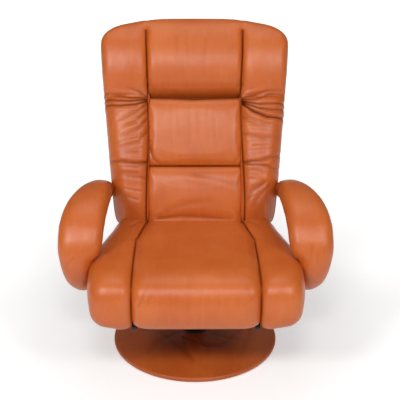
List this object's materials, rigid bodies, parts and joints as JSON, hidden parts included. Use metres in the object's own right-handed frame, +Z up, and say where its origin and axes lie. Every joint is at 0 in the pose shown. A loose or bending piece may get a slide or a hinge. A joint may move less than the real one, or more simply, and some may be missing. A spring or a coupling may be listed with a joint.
{
  "type": "swivel recliner",
  "caption": "Leather swivel recliner with a high winged back, tilting headrest, curled arms, fold-out footrest and a round disc base.",
  "frame": {"origin": "on the floor under the middle of the column", "axes": "+Z up, the chair faces -Y, +X to the right of someone facing the chair"},
  "size_m": [0.8482, 0.8557, 1.0148],
  "materials": {
    "leather": "satin",
    "wood": "matt",
    "black_steel": "satin",
    "bright_steel": "satin",
    "black_plastic": "matt",
    "webbing": "matt"
  },
  "bodies": {
    "base": {"base_disc": "wood", "base_leather_cover": "leather", "base_steel_plate": "black_steel", "base_screws": "bright_steel", "base_glides": "black_plastic", "column_collar": "black_plastic", "column_tube": "black_steel", "column_bushes": "black_plastic", "thrust_washer": "black_plastic"},
    "swivel_frame": {"spindle": "bright_steel", "spindle_clip": "bright_steel", "swivel_plate": "black_steel", "chassis_frame": "black_steel", "slide_channels": "black_steel", "lock_rod": "bright_steel", "arm_posts": "black_steel", "arm_core_left": "black_steel", "arm_core_right": "black_steel", "arm_pad_left": "leather", "arm_pad_right": "leather", "arm_bolts": "bright_steel", "recline_pivots": "bright_steel"},
    "seat": {"seat_frame": "black_steel", "seat_boards": "wood", "seat_webbing": "webbing", "seat_centre_cushion": "leather", "seat_side_cushion_left": "leather", "seat_side_cushion_right": "leather", "glide_blocks": "black_plastic", "glide_block_bolts": "bright_steel", "lock_housing": "bright_steel", "footrest_brackets": "black_steel", "footrest_pins": "bright_steel"},
    "release": {"release_shaft": "bright_steel", "release_cam": "bright_steel", "release_lever": "black_steel", "lever_grip": "black_plastic", "release_spring": "bright_steel"},
    "footrest": {"footrest_board": "wood", "footrest_pad": "leather", "footrest_hinge_straps": "black_steel"},
    "back": {"back_frame": "black_steel", "recline_bushes": "black_plastic", "drive_pins": "bright_steel", "back_webbing": "webbing", "back_shell": "wood", "back_rear_cover": "leather", "back_lumbar_pad": "leather", "back_middle_pad": "leather", "back_wing_left": "leather", "back_wing_right": "leather", "head_hinge_leaves": "black_steel"},
    "head": {"head_frame": "black_steel", "head_ratchet_leaves": "black_steel", "head_hinge_pins": "bright_steel", "head_centre_pad": "leather", "head_side_pad_left": "leather", "head_side_pad_right": "leather", "head_rear_cover": "leather"}
  },
  "joints": [
    {"name": "swivel", "type": "hinge", "parent": "base", "child": "swivel_frame", "pos_m": [0, 0, 0.2], "axis": [0, 0, 1], "continuous": true},
    {"name": "back_recline", "type": "hinge", "parent": "swivel_frame", "child": "back", "pos_m": [0, 0.18575, 0.47764], "axis": [-1, 0, 0], "range_deg": [0, 32]},
    {"name": "seat_slide", "type": "slide", "parent": "swivel_frame", "child": "seat", "axis": [0, -1, 0], "range_m": [0, 0.0912]},
    {"name": "head_tilt", "type": "hinge", "parent": "back", "child": "head", "pos_m": [0, 0.34186, 0.79078], "axis": [1, 0, 0], "range_deg": [-5, 25]},
    {"name": "footrest_swing", "type": "hinge", "parent": "seat", "child": "footrest", "pos_m": [0, -0.352, 0.248], "axis": [-1, 0, 0], "range_deg": [0, 180]},
    {"name": "release_pull", "type": "hinge", "parent": "seat", "child": "release", "pos_m": [0, 0.035, 0.29], "axis": [1, 0, 0], "range_deg": [0, 12], "stiffness_Nm_per_rad": 1.2, "springref_deg": -34.38}
  ],
  "couplings": [
    {"joint": "seat_slide", "follows": "back_recline", "m_per_rad": 0.162}
  ]
}
